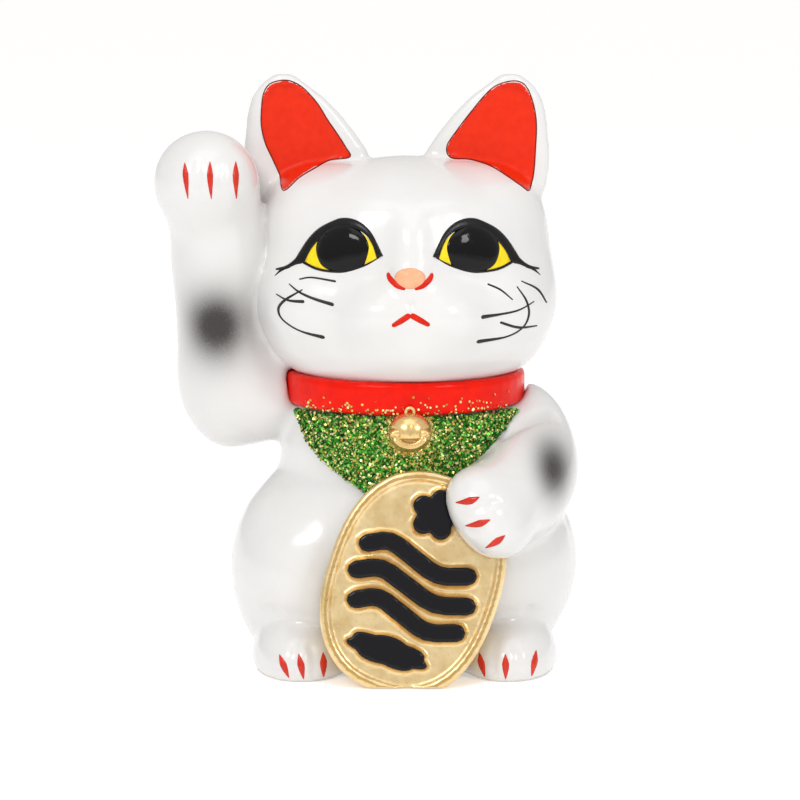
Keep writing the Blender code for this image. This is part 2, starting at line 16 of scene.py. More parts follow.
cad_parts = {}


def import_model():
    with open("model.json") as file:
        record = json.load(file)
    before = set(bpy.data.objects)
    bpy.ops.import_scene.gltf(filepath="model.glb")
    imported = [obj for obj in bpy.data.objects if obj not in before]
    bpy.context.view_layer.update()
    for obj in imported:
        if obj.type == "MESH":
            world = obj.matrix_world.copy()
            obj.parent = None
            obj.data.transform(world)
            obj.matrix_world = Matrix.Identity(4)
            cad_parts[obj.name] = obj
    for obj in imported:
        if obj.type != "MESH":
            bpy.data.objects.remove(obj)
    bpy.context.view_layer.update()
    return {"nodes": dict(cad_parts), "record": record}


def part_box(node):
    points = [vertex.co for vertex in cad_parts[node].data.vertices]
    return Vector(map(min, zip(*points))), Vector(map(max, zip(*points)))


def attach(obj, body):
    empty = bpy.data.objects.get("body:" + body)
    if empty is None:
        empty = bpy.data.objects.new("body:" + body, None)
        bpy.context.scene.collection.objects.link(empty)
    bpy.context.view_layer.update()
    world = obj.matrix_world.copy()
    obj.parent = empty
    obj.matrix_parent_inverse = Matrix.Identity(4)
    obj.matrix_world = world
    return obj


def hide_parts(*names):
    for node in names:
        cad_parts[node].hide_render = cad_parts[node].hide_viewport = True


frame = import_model()
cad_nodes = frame["nodes"]

MM = 0.001
SEED = 7
COLLAR_OFFSET = Vector((1.5, 0.0, 0.0))  # the collar's middle in the figure's own frame
FACE_MID = 2.35  # the face is turned a little to the cat's left
EAR_MID = -1.0


def figure_origin():
    low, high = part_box("collar")
    middle = (low + high) / 2
    return Vector((middle.x, middle.y, 0.0)) - COLLAR_OFFSET * MM


ORIGIN = figure_origin()


def world(x, y, z):
    """A point of the figure's own frame, in metres in the shared frame."""
    return ORIGIN + Vector((x, y, z)) * MM


# Materials


def new_material(name):
    made = bpy.data.materials.new(name)
    made.use_nodes = True
    return made, Nodes(made.node_tree)


class Nodes:
    """Short calls for building a node tree."""

    def __init__(self, tree, shader="Principled BSDF"):
        self.tree = tree
        self.shader = tree.nodes[shader]

    def set(self, **values):
        for name, value in values.items():
            self.shader.inputs[name.replace("_", " ")].default_value = value
        return self

    def add(self, kind, **settings):
        node = self.tree.nodes.new(kind)
        for name, value in settings.items():
            setattr(node, name, value)
        return node

    def link(self, source, target):
        self.tree.links.new(source, target)

    def feed(self, node, **sources):
        """Sets or links a node's inputs by name."""
        for name, source in sources.items():
            socket = node.inputs[name.replace("_", " ")]
            if isinstance(source, bpy.types.NodeSocket):
                self.link(source, socket)
            else:
                socket.default_value = source
        return node

    def place(self):
        return self.add("ShaderNodeTexCoord").outputs["Object"]

    def noise(self, scale, detail=2.0, roughness=0.5):
        node = self.add("ShaderNodeTexNoise")
        self.feed(node, Vector=self.place(), Scale=scale, Detail=detail, Roughness=roughness)
        return node.outputs["Fac"]

    def math(self, operation, *values, clamp=False):
        node = self.add("ShaderNodeMath", operation=operation, use_clamp=clamp)
        for socket, value in zip(node.inputs, values):
            if isinstance(value, bpy.types.NodeSocket):
                self.link(value, socket)
            else:
                socket.default_value = value
        return node.outputs[0]

    def ramp(self, factor, *stops):
        node = self.add("ShaderNodeValToRGB")
        elements = node.color_ramp.elements
        while len(elements) < len(stops):
            elements.new(0.5)
        for element, (position, colour) in zip(elements, stops):
            element.position = position
            element.color = colour if len(colour) == 4 else (*colour, 1)
        self.link(factor, node.inputs["Fac"])
        return node.outputs["Color"]

    def mix(self, factor, first, second):
        node = self.add("ShaderNodeMix", data_type="RGBA")
        for socket, value in zip((node.inputs[0], node.inputs[6], node.inputs[7]), (factor, first, second)):
            if isinstance(value, bpy.types.NodeSocket):
                self.link(value, socket)
            elif isinstance(value, tuple):
                socket.default_value = (*value, 1)
            else:
                socket.default_value = value
        return node.outputs[2]

    def bump(self, height, distance, strength=1.0):
        node = self.add("ShaderNodeBump")
        self.feed(node, Height=height, Distance=distance, Strength=strength)
        self.link(node.outputs["Normal"], self.shader.inputs["Normal"])
        return node

    def colour(self, source):
        self.link(source, self.shader.inputs["Base Color"])

    def rough(self, source):
        self.link(source, self.shader.inputs["Roughness"])


def grey(value):
    return (value, value, value)


# Airbrushed shadows: middle, radii, darkness
SMUDGES = [
    ((-56.4, -15.0, 105.4), (9.6, 15.0, 11.0), 1.0),
    ((-56.0, -15.0, 105.6), (14.5, 22.0, 19.0), 0.30),
    ((45.6, -27.0, 62.3), (6.6, 17.0, 9.0), 1.0),
    ((45.6, -24.0, 62.3), (10.5, 20.0, 15.0), 0.28),
    ((17.0, 48.0, 22.0), (9.0, 9.0, 9.0), 0.8),
]
SMUDGE_COLOUR = (0.010, 0.004, 0.0025)


def smudge_mask(nodes, middle, radii, darkness):
    """A soft round cloud of sprayed dots, from 0 outside to 1 at its heart."""
    shift = nodes.add("ShaderNodeVectorMath", operation="SUBTRACT")
    nodes.link(nodes.place(), shift.inputs[0])
    shift.inputs[1].default_value = world(*middle)
    scale = nodes.add("ShaderNodeVectorMath", operation="DIVIDE")
    nodes.link(shift.outputs[0], scale.inputs[0])
    scale.inputs[1].default_value = Vector(radii) * MM
    size = nodes.add("ShaderNodeVectorMath", operation="LENGTH")
    nodes.link(scale.outputs[0], size.inputs[0])
    squared = nodes.math("MULTIPLY", size.outputs["Value"], size.outputs["Value"])
    steep = nodes.math("POWER", squared, 1.3)
    cloud = nodes.math("EXPONENT", nodes.math("MULTIPLY", steep, -1.15))
    spray = nodes.math("SUBTRACT", nodes.noise(5200.0, 2.0, 0.7), 0.5)
    grain = nodes.math("MULTIPLY", spray, 0.9)
    lit = nodes.math("MULTIPLY", cloud, nodes.math("ADD", 1.0, grain))
    return nodes.math("MULTIPLY", lit, darkness * 1.12, clamp=True)


def glaze_material():
    """Thick white glaze with faint unevenness, airbrushed patches and a bare clay foot."""
    material, nodes = new_material("white_glaze")
    white = nodes.ramp(
        nodes.noise(45.0, 3.0), (0.3, (0.67, 0.66, 0.65)), (0.7, (0.71, 0.70, 0.69))
    )
    colour = white
    for middle, radii, darkness in SMUDGES:
        mask = smudge_mask(nodes, middle, radii, darkness)
        colour = nodes.mix(mask, colour, SMUDGE_COLOUR)
    separate = nodes.add("ShaderNodeSeparateXYZ")
    nodes.link(nodes.place(), separate.inputs[0])
    height = nodes.math("ADD", separate.outputs["Z"], nodes.math("MULTIPLY", nodes.noise(300.0), 0.0008))
    bare = nodes.math("LESS_THAN", height, 0.0008)
    clay = nodes.ramp(nodes.noise(900.0, 4.0), (0.3, (0.56, 0.52, 0.46)), (0.7, (0.68, 0.64, 0.58)))
    nodes.colour(nodes.mix(bare, colour, clay))
    gloss = nodes.ramp(nodes.noise(120.0), (0.3, grey(0.16)), (0.7, grey(0.23)))
    nodes.rough(nodes.mix(bare, gloss, grey(0.85)))
    nodes.bump(nodes.noise(260.0, 2.0), 0.00012, 0.5)
    nodes.set(IOR=1.5, Coat_Weight=0.25, Coat_Roughness=0.08)
    return material


def enamel_material(name, colour, dark, roughness, specular, coat):
    """Brushed-on enamel: slightly streaky, glossy, with a soft ripple."""
    material, nodes = new_material(name)
    streaks = nodes.noise(380.0, 3.0, 0.6)
    nodes.colour(nodes.ramp(streaks, (0.3, dark), (0.65, colour)))
    nodes.rough(nodes.ramp(nodes.noise(700.0), (0.3, grey(roughness)), (0.7, grey(roughness + 0.1))))
    nodes.bump(nodes.noise(420.0, 2.0), 0.00008, 0.6)
    nodes.set(IOR=1.5, Specular_IOR_Level=specular, Coat_Weight=coat, Coat_Roughness=0.05)
    return material


def collar_material():
    """Red enamel. The stray flecks of gold glitter stuck to its lower half are flakes laid on it with the
    glitter, not part of this material.
    """
    material, nodes = new_material("collar_red")
    streaks = nodes.noise(250.0, 3.0, 0.6)
    red = nodes.ramp(streaks, (0.3, (0.68, 0.006, 0.001)), (0.65, (0.80, 0.009, 0.001)))
    nodes.colour(red)
    nodes.rough(nodes.ramp(nodes.noise(500.0), (0.3, grey(0.14)), (0.7, grey(0.24))))
    nodes.bump(nodes.noise(350.0, 2.0), 0.0001, 0.6)
    nodes.set(IOR=1.5, Specular_IOR_Level=0.12)
    return material


def hoop_material():
    """Gold lacquer over clay: metallic, softly mottled, with fine grain."""
    material, nodes = new_material("hoop_gold")
    mottle = nodes.noise(220.0, 4.0, 0.55)
    nodes.colour(nodes.ramp(mottle, (0.3, (0.62, 0.42, 0.17)), (0.62, (0.80, 0.58, 0.27))))
    nodes.rough(nodes.ramp(nodes.noise(900.0, 3.0), (0.3, grey(0.24)), (0.7, grey(0.40))))
    nodes.bump(nodes.noise(1500.0, 3.0), 0.00006, 0.5)
    nodes.set(Metallic=0.9)
    return material


def bell_material():
    """Gold lacquer, with painted shade darkening the bell's hollows."""
    material, nodes = new_material("bell_gold")
    depth = nodes.add("ShaderNodeAttribute", attribute_name="hollow").outputs["Fac"]
    gold = nodes.ramp(nodes.noise(220.0, 4.0, 0.55), (0.3, (0.66, 0.44, 0.17)), (0.62, (0.84, 0.60, 0.27)))
    # painted shade: the gold turns dark brown where the bell's front sinks into hollows
    nodes.colour(nodes.mix(depth, gold, (0.20, 0.10, 0.03)))
    nodes.rough(nodes.ramp(nodes.noise(900.0, 3.0), (0.3, grey(0.20)), (0.7, grey(0.32))))
    nodes.set(Metallic=0.9)
    return material


def glitter_base_material():
    material, nodes = new_material("glitter_glue")
    nodes.colour(
        nodes.ramp(nodes.noise(900.0, 4.0), (0.35, (0.004, 0.03, 0.004)), (0.7, (0.03, 0.14, 0.02)))
    )
    nodes.bump(nodes.noise(1400.0, 3.0), 0.0003, 0.8)
    nodes.set(Roughness=0.4)
    return material


def flake_material(name, *tones):
    """Foil flakes, each with its own tone."""
    material, nodes = new_material(name)
    tone = nodes.add("ShaderNodeAttribute", attribute_name="tone")
    nodes.colour(nodes.ramp(tone.outputs["Fac"], *tones))
    nodes.set(Metallic=0.75, Roughness=0.28)
    return material


def rubber_material():
    material, nodes = new_material("black_rubber")
    nodes.colour(nodes.ramp(nodes.noise(700.0, 4.0), (0.3, grey(0.018)), (0.7, grey(0.035))))
    nodes.rough(nodes.ramp(nodes.noise(1200.0, 3.0), (0.3, grey(0.55)), (0.7, grey(0.75))))
    nodes.bump(nodes.noise(2500.0, 4.0), 0.00008, 0.6)
    return material


# Mesh tools


def mesh_object(name, verts, faces, *materials):
    mesh = bpy.data.meshes.new(name)
    mesh.from_pydata([tuple(v) for v in verts], [], faces)
    obj = bpy.data.objects.new(name, mesh)
    bpy.context.scene.collection.objects.link(obj)
    for material in materials:
        mesh.materials.append(material)
    mesh.shade_smooth()
    return obj


def finish_piece(obj, body="figurine", replaces=()):
    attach(obj, body)
    if replaces:
        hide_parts(*replaces)
    return obj


def coordinates(mesh):
    points = np.empty(len(mesh.vertices) * 3)
    mesh.vertices.foreach_get("co", points)
    return points.reshape(-1, 3)


def put_coordinates(mesh, points):
    mesh.vertices.foreach_set("co", points.ravel())
    mesh.update()


def vertex_normals(mesh):
    normals = np.empty(len(mesh.vertices) * 3)
    mesh.vertex_normals.foreach_get("vector", normals)
    return normals.reshape(-1, 3)


def evaluated_mesh(obj):
    graph = bpy.context.evaluated_depsgraph_get()
    return bpy.data.meshes.new_from_object(obj.evaluated_get(graph))


def discard(*objects):
    for obj in objects:
        bpy.data.objects.remove(obj)


def node_bmesh(name, grow=0.0):
    """A CAD node's solid as a welded bmesh, swollen by grow millimetres."""
    bm = bmesh.new()
    bm.from_mesh(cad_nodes[name].data)
    bmesh.ops.remove_doubles(bm, verts=bm.verts, dist=1e-6)
    bm.normal_update()
    if grow:
        for vert, normal in [(v, v.normal.copy()) for v in bm.verts]:
            vert.co += normal * grow * MM
    return bm


def joined(name, meshes):
    """One mesh object holding several bmeshes."""
    whole = bmesh.new()
    for bm in meshes:
        part = bpy.data.meshes.new("part")
        bm.to_mesh(part)
        bm.free()
        whole.from_mesh(part)
        bpy.data.meshes.remove(part)
    mesh = bpy.data.meshes.new(name)
    whole.to_mesh(mesh)
    whole.free()
    obj = bpy.data.objects.new(name, mesh)
    bpy.context.scene.collection.objects.link(obj)
    return obj


def box_bmesh(low, high):
    bm = bmesh.new()
    bmesh.ops.create_cube(bm, size=1.0)
    size = high - low
    bm.transform(Matrix.Translation((low + high) / 2) @ Matrix.Diagonal((*size, 1)))
    return bm


def drum_bmesh(middle, radius, z_low, z_high, segments=64):
    bm = bmesh.new()
    bmesh.ops.create_cone(
        bm,
        cap_ends=True,
        segments=segments,
        radius1=radius * MM,
        radius2=radius * MM,
        depth=(z_high - z_low) * MM,
    )
    bmesh.ops.translate(bm, verts=bm.verts, vec=world(*middle, (z_low + z_high) / 2))
    return bm


def voxel_skin(obj, voxel):
    """Fuses overlapping solids into one even skin, and keeps only its largest shell."""
    modifier = obj.modifiers.new("fuse", "REMESH")
    modifier.mode = "VOXEL"
    modifier.voxel_size = voxel * MM
    mesh = evaluated_mesh(obj)
    obj.modifiers.clear()
    obj.data = mesh
    bm = bmesh.new()
    bm.from_mesh(mesh)
    bmesh.ops.delete(bm, geom=smaller_shells(bm), context="VERTS")
    bm.to_mesh(mesh)
    bm.free()
    mesh.shade_smooth()
    return obj


def smaller_shells(bm):
    """The vertices of every loose shell except the largest."""
    shells, seen = [], set()
    for start in bm.verts:
        if start in seen:
            continue
        seen.add(start)
        shell, queue = [], [start]
        while queue:
            vert = queue.pop()
            shell.append(vert)
            for edge in vert.link_edges:
                other = edge.other_vert(vert)
                if other not in seen:
                    seen.add(other)
                    queue.append(other)
        shells.append(shell)
    shells.sort(key=len)
    return [vert for shell in shells[:-1] for vert in shell]


def edge_pairs(mesh):
    pairs = np.empty(len(mesh.edges) * 2, int)
    mesh.edges.foreach_get("vertices", pairs)
    return pairs.reshape(-1, 2)


def relaxed(values, pairs, rounds, strength):
    """Averages each value with its neighbours'. strength is one number per vertex."""
    count = len(values)
    ends = np.concatenate([pairs[:, 0], pairs[:, 1]])
    others = np.concatenate([pairs[:, 1], pairs[:, 0]])
    degree = np.maximum(np.bincount(ends, minlength=count), 1)
    values = values.copy()
    for _ in range(rounds):
        mean = np.stack(
            [np.bincount(ends, values[others, axis], count) / degree for axis in range(3)], axis=1
        )
        values += (mean - values) * strength[:, None]
    return values


def soften(mesh, rounds, strength):
    """Smooths away facets and seams but keeps the broad form from shrinking."""
    points, pairs = coordinates(mesh), edge_pairs(mesh)
    smooth = relaxed(points, pairs, rounds, strength)
    smooth += relaxed(points - smooth, pairs, rounds, strength)
    put_coordinates(mesh, smooth)


def bell_curve(distance):
    return np.exp(-np.square(distance))


def swell(points, normals, middle, radii, rise):
    """Raises a soft mound, or sinks a soft dent, along the surface's normals."""
    offset = (points - np.array(world(*middle))) / (np.array(radii) * MM)
    weight = bell_curve(np.linalg.norm(offset, axis=1))
    points += normals * (weight * rise * MM)[:, None]


def crease(points, normals, path, width, depth):
    """Presses a soft groove along a path of points."""
    path = np.array([world(*p) for p in path])
    nearest = np.full(len(points), np.inf)
    for start, end in zip(path, path[1:]):
        along = end - start
        share = np.clip((points - start) @ along / (along @ along), 0, 1)
        gap = points - (start + share[:, None] * along)
        nearest = np.minimum(nearest, np.linalg.norm(gap, axis=1))
    weight = bell_curve(nearest / (width * MM))
    points -= normals * (weight * depth * MM)[:, None]


# The two glazed skins

HEAD_NODES = ("head", "right_ear", "left_ear")
BODY_NODES = ("torso", "raised_arm", "koban_arm", "right_foot", "left_foot", "tail")


def opening(name):
    for entry in frame["record"]["physics"]["openings"]:
        if entry["name"] == name:
            low, high = entry["box_m"]
            return Vector(low), Vector(high)
    raise KeyError(name)


def head_skin():
    parts = [node_bmesh(n, grow=0.3) for n in HEAD_NODES]
    low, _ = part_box("head")
    parts.append(drum_bmesh((1.5, 0.0), 31.0, low.z / MM + 0.2, low.z / MM + 6.0))
    skin = voxel_skin(joined("glazed_head", parts), 0.75)
    mesh = skin.data
    height = coordinates(mesh)[:, 2] / MM
    strength = np.interp(height, (146, 156), (0.5, 0.16))
    soften(mesh, 46, strength)
    points, normals = coordinates(mesh), vertex_normals(mesh)
    sculpt_face(points, normals)
    put_coordinates(mesh, points)
    return skin


def sculpt_face(points, normals):
    for side in (-1, 1):
        eye = FACE_MID + side * 19.5
        swell(points, normals, (eye, -30, 130.5), (11.5, 14, 8.0), 1.5)
        swell(points, normals, (FACE_MID + side * 18, -30, 143.5), (15, 16, 4.5), 1.1)
        swell(points, normals, (FACE_MID + side * 7.5, -36, 133), (4.0, 12, 9.0), -0.8)
        swell(points, normals, (FACE_MID + side * 23, -30, 120), (13, 14, 4.5), -0.7)
        swell(points, normals, (3 + side * 8, -38, 111.5), (7.5, 12, 6.0), 1.2)
        crease(points, normals, [(3 + side * 12.5, -34, 103.5), (3 + side * 16, -34, 109)], 1.8, 0.7)
        crease(points, normals, [(3 + side * 1, -42, 119.5), (3 + side * 6, -38, 124)], 1.2, 0.5)
    swell(points, normals, (3, -42, 122.5), (5.2, 10, 3.6), 1.7)
    crease(points, normals, [(3.2, -44, 118.5), (3.2, -42, 112)], 1.1, 0.8)
    crease(points, normals, [(-4, -40, 107.5), (3.2, -42, 110.5), (10, -40, 107.5)], 1.2, 0.7)
    swell(points, normals, (3.5, -36, 100), (9, 10, 4.5), 0.8)


def head_flank():
    """The side of the head that the raised arm leans on, so that the skin forms a fillet there."""
    bm = node_bmesh("head", grow=-0.25)
    everything = bm.verts[:] + bm.edges[:] + bm.faces[:]
    bmesh.ops.bisect_plane(
        bm, geom=everything, plane_co=world(-27.0, 0, 0), plane_no=(1, 0, 0), clear_outer=True
    )
    bmesh.ops.holes_fill(bm, edges=[e for e in bm.edges if e.is_boundary], sides=0)
    return bm


def body_skin():
    parts = [node_bmesh(n, grow=0.3) for n in BODY_NODES]
    parts.append(head_flank())
    slot_low, slot_high = opening("coin_slot")
    backing_low = slot_low - Vector((0.002, 0, 0.001))
    backing_high = slot_high - Vector((-0.002, 0.0115, -0.001))
    parts.append(box_bmesh(backing_low, backing_high))
    parts.append(drum_bmesh((0.0, 0.0), 16.0, 0.3, 6.0))
    parts.append(drum_bmesh((0.0, 0.0), 10.5, 77.0, 84.8))
    skin = voxel_skin(joined("glazed_body", parts), 0.92)
    mesh = skin.data
    soften(mesh, 40, np.full(len(mesh.vertices), 0.5))
    points, normals = coordinates(mesh), vertex_normals(mesh)
    sculpt_body(points, normals)
    points[:, 2] = np.where(points[:, 2] < 0.0005, 0.0, points[:, 2])
    put_coordinates(mesh, points)
    return skin


# Toe grooves: each is a short path on the paw it parts.
TOE_GROOVES = [
    [(-61.2, -30, 146), (-61.2, -27, 157)],
    [(-53.2, -30, 146), (-53.2, -27, 157)],
    [(15.0, -54, 62.0), (21.5, -57, 63.5), (25.0, -56, 63.0)],
    [(16.0, -56, 54.6), (22.5, -58, 55.6), (29.0, -57, 57.5)],
    [(19.6, -57, 48.0), (26.0, -58, 49.6), (32.0, -56, 52.6)],
    [(-33.0, -47, 1.0), (-31.6, -44, 13.0)],
    [(-26.2, -47, 1.0), (-26.8, -44, 13.0)],
    [(28.2, -47, 1.0), (28.4, -44, 13.0)],
    [(35.6, -47, 1.0), (35.2, -44, 13.0)],
]


def sculpt_body(points, normals):
    for groove in TOE_GROOVES:
        crease(points, normals, groove, 1.5, 0.7)
    crease(points, normals, [(32, -24, 72.6), (38.4, -21, 75.3), (43.5, -17, 76.8), (48, -13, 77)], 2.2, 1.9)
    crease(points, normals, [(49, -8, 46), (51, -12, 38), (50, -14, 30)], 3.0, 0.6)
    crease(points, normals, [(-46, -20, 19), (-38, -36, 19.5), (-26, -40, 18)], 1.6, 1.0)
    crease(points, normals, [(24, -40, 18), (38, -36, 19.5), (47, -20, 19)], 1.6, 1.0)


def hollow_out(skin):
    """Opens the coin slot, the chamber behind it and the bung hole."""
    low, high = opening("coin_chamber")
    chamber = bmesh.new()
    bmesh.ops.create_icosphere(chamber, subdivisions=4, radius=1.0)
    reach = (high - low) * 0.62
    for vert in chamber.verts:
        size = max(abs(vert.co.x), abs(vert.co.y), abs(vert.co.z))
        vert.co *= 1 + 0.28 * (1 / size - 1) / 0.73
    chamber.transform(Matrix.Translation((low + high) / 2) @ Matrix.Diagonal((*reach, 1)))
    slot_low, slot_high = opening("coin_slot")
    widen = Vector((0.0012, 0.0, 0.0005))
    tools = [
        chamber,
        box_bmesh(slot_low - widen, slot_high + widen + Vector((0, 0.01, 0))),
        drum_bmesh((0.0, 0.0), 12.0, -2.0, 16.0),
        drum_bmesh((0.0, 0.0), 15.0, -2.0, 2.6),
    ]
    for tool in tools:
        cutter = joined("cutter", [tool])
        modifier = skin.modifiers.new("open", "BOOLEAN")
        modifier.operation = "DIFFERENCE"
        modifier.solver = "EXACT"
        modifier.object = cutter
        mesh = evaluated_mesh(skin)
        skin.modifiers.clear()
        skin.data = mesh
        discard(cutter)
    skin.data.shade_smooth()
    skin.data.set_sharp_from_angle(angle=math.radians(45))


# Painting on the skins


class Canvas:
    """Finds the glazed surface in front of a point (x, z) of the figure's own frame."""

    def __init__(self, *skins):
        self.trees = []
        for skin in skins:
            bm = bmesh.new()
            bm.from_mesh(skin.data)
            self.trees.append(BVHTree.FromBMesh(bm))
            bm.free()

    def at(self, x, z):
        """(point on the surface, its normal)"""
        start = world(x, -120, z)
        best = None
        for tree in self.trees:
            place, normal, _, distance = tree.ray_cast(start, Vector((0, 1, 0)))
            if place and (best is None or distance < best[2]):
                best = (place, normal, distance)
        if best is None:
            raise ValueError(f"nothing to paint on at {x}, {z}")
        return best[0], best[1]


def spline(points, samples, closed=False):
    """Catmull-Rom samples through points of any dimension."""
    points = np.array(points, float)
    count = len(points)
    if closed:
        spans = count
        knots = [points[i % count] for i in range(-1, count + 2)]
    else:
        spans = count - 1
        knots = [2 * points[0] - points[1], *points, 2 * points[-1] - points[-2]]
    made = []
    total = samples if closed else samples + 1
    for n in range(total):
        at = min(n / samples * spans, spans - 1e-9)
        i = int(at)
        t = at - int(at)
        a, b, c, d = knots[i : i + 4]
        bend = (2 * a - 5 * b + 4 * c - d) * t**2 + (3 * b - a - 3 * c + d) * t**3
        made.append(0.5 * (2 * b + (c - a) * t + bend))
    return np.array(made)


def lay(canvas, flat, lifts):
    """Flat (x, z) points laid on the canvas, each lifted off it in millimetres."""
    placed = []
    for (x, z), lift in zip(flat, lifts):
        place, normal = canvas.at(x, z)
        placed.append(place + normal * lift * MM)
    return placed


def patch(name, canvas, outline, thickness, material, rings=8, samples=72, sink=0.35):
    """A closed, softly domed patch of enamel inside a closed outline."""
    edge = spline(outline, samples, closed=True)
    middle = edge.mean(axis=0)
    flat, tops = [middle], [thickness]
    for ring in range(1, rings + 1):
        share = ring / rings
        lift = thickness * (1 - share**6)
        for point in edge:
            flat.append(middle + (point - middle) * share)
            tops.append(lift - (0.02 if ring == rings else 0))
    top = lay(canvas, flat, tops)
    bottom = lay(canvas, flat, [-sink] * len(flat))
    count = len(flat)
    faces = []
    for i in range(samples):
        j = (i + 1) % samples
        faces.append((0, 1 + i, 1 + j))
        for ring in range(rings - 1):
            a, b = 1 + ring * samples, 1 + (ring + 1) * samples
            faces.append((a + i, b + i, b + j, a + j))
    under = [tuple(count + v for v in reversed(face)) for face in faces]
    last = 1 + (rings - 1) * samples
    rim = [
        (last + i, count + last + i, count + last + (i + 1) % samples, last + (i + 1) % samples)
        for i in range(samples)
    ]
    return outward(mesh_object(name, top + bottom, faces + under + rim, material))


def outward(obj):
    bm = bmesh.new()
    bm.from_mesh(obj.data)
    bmesh.ops.recalc_face_normals(bm, faces=bm.faces)
    bm.to_mesh(obj.data)
    bm.free()
    return obj


def brushed(path, widths, samples=30, round_ends=False):
    """Both edges of a brush stroke whose width follows widths along its path."""
    line = spline(path, samples)
    width = np.interp(np.linspace(0, 1, samples + 1), np.linspace(0, 1, len(widths)), widths)
    if round_ends:
        run = np.concatenate([[0], np.cumsum(np.linalg.norm(np.diff(line, axis=0), axis=1))])
        inside = np.clip(1 - np.minimum(run, run[-1] - run) / (width / 2), 0, 1)
        width *= np.sqrt(np.clip(1 - inside**2, 0.05, 1))
    along = np.gradient(line, axis=0)
    along /= np.maximum(np.linalg.norm(along, axis=1), 1e-9)[:, None]
    side = np.stack([-along[:, 1], along[:, 0]], axis=1)
    reach = side * width[:, None] / 2
    return line + reach, line - reach


def band(first_edge, second_edge, samples):
    return spline(first_edge, samples), spline(second_edge, samples)


def stroke_grid(canvas, edges, thickness, across, sink=0.3):
    """Top and bottom points of a rounded film of enamel between two edges."""
    flat, tops = [], []
    for first, second in zip(*edges):
        width = np.linalg.norm(first - second)
        for j in range(across):
            u = j / (across - 1)
            flat.append(first + (second - first) * u)
            crown = 1 - (2 * u - 1) ** 4
            tops.append(thickness * crown * min(1.0, width / (3 * thickness)) - 0.02)
    return lay(canvas, flat, tops), lay(canvas, flat, [-sink] * len(flat))


def strokes(name, canvas, marks, thickness, material, across=5):
    """Several closed films of enamel as one piece. Each mark is a pair of edges."""
    verts, faces = [], []
    for edges in marks:
        samples = len(edges[0]) - 1
        top, bottom = stroke_grid(canvas, edges, thickness, across)
        base, count = len(verts), len(top)
        verts += top + bottom
        for k in range(samples):
            for j in range(across - 1):
                a = base + k * across + j
                square = (a, a + 1, a + across + 1, a + across)
                faces.append(square)
                faces.append(tuple(count + v for v in reversed(square)))
        loop = [base + j for j in range(across)]
        loop += [base + k * across + across - 1 for k in range(1, samples + 1)]
        loop += [base + samples * across + j for j in range(across - 2, -1, -1)]
        loop += [base + k * across for k in range(samples - 1, 0, -1)]
        for a, b in zip(loop, loop[1:] + loop[:1]):
            faces.append((a, b, count + b, count + a))
    return outward(mesh_object(name, verts, faces, material))


# The face. Eye points are (distance outwards from the face's middle, z).

LID_OUTER = [(7.4, 128.8), (10.6, 135.1), (13.6, 138.2), (16.6, 139.5), (19.5, 139.7), (22.2, 138.9)]
LID_OUTER += [(26.8, 136.4), (30.1, 133.2), (32.8, 129.2), (34.4, 126.6), (37.0, 124.6), (40.2, 123.4)]
LID_INNER = [(9.4, 128.0), (10.8, 132.2), (12.6, 134.8), (15.6, 136.4), (19.4, 136.8), (23.4, 135.8)]
LID_INNER += [(26.4, 133.3), (29.4, 129.6), (31.4, 126.0), (34.0, 125.0), (37.0, 123.6), (40.2, 122.8)]
LASH = [(36.0, 124.4), (38.4, 123.2), (40.6, 121.2)]
LOWER_LINE = [(31.6, 125.9), (27.4, 124.2), (22.2, 123.6), (18.2, 124.0), (12.8, 125.9), (8.6, 128.3)]
IRIS_OUTLINE = [(8.6, 128.6), (11.2, 133.4), (15.2, 136.6), (19.5, 137.4), (23.6, 136.4), (27.6, 133.0)]
IRIS_OUTLINE += [(31.4, 126.4), (27.4, 124.4), (22.2, 123.8), (18.2, 124.2), (12.8, 126.1)]
PUPIL_OUTLINE = [(11.4, 130.6), (12.6, 134.2), (15.8, 136.9), (19.8, 137.6), (24.0, 136.4), (27.0, 133.4)]
PUPIL_OUTLINE += [(28.0, 129.6), (26.4, 125.4), (22.4, 123.7), (17.8, 124.0), (13.2, 125.9)]


def mirrored(points, side, middle=FACE_MID):
    return [(middle + side * e, z) for e, z in points]


def ellipse(x, z, half_width, half_height, points=16):
    turns = [2 * math.pi * i / points for i in range(points)]
    return [(x + half_width * math.cos(t), z + half_height * math.sin(t)) for t in turns]


def make_eyes(canvas, paints):
    for side, name in ((-1, "right"), (1, "left")):
        outline = mirrored(IRIS_OUTLINE, side)
        iris = patch(name + "_iris", canvas, outline, 0.2, paints["yellow"], samples=96)
        finish_piece(iris)
        outline = mirrored(PUPIL_OUTLINE, side)
        pupil = patch(name + "_pupil", canvas, outline, 0.9, paints["pupil"], rings=12, samples=96)
        finish_piece(pupil)
        marks = [
            band(mirrored(LID_OUTER, side), mirrored(LID_INNER, side), 60),
            brushed(mirrored(LASH, side), (0.9, 0.8, 0.2), 16),
            brushed(mirrored(LOWER_LINE, side), (0.9, 0.8, 0.7, 0.7, 0.6, 0.3), 40),
        ]
        lids = strokes(name + "_eye_lines", canvas, marks, 0.5, paints["black"], across=9)
        finish_piece(lids)


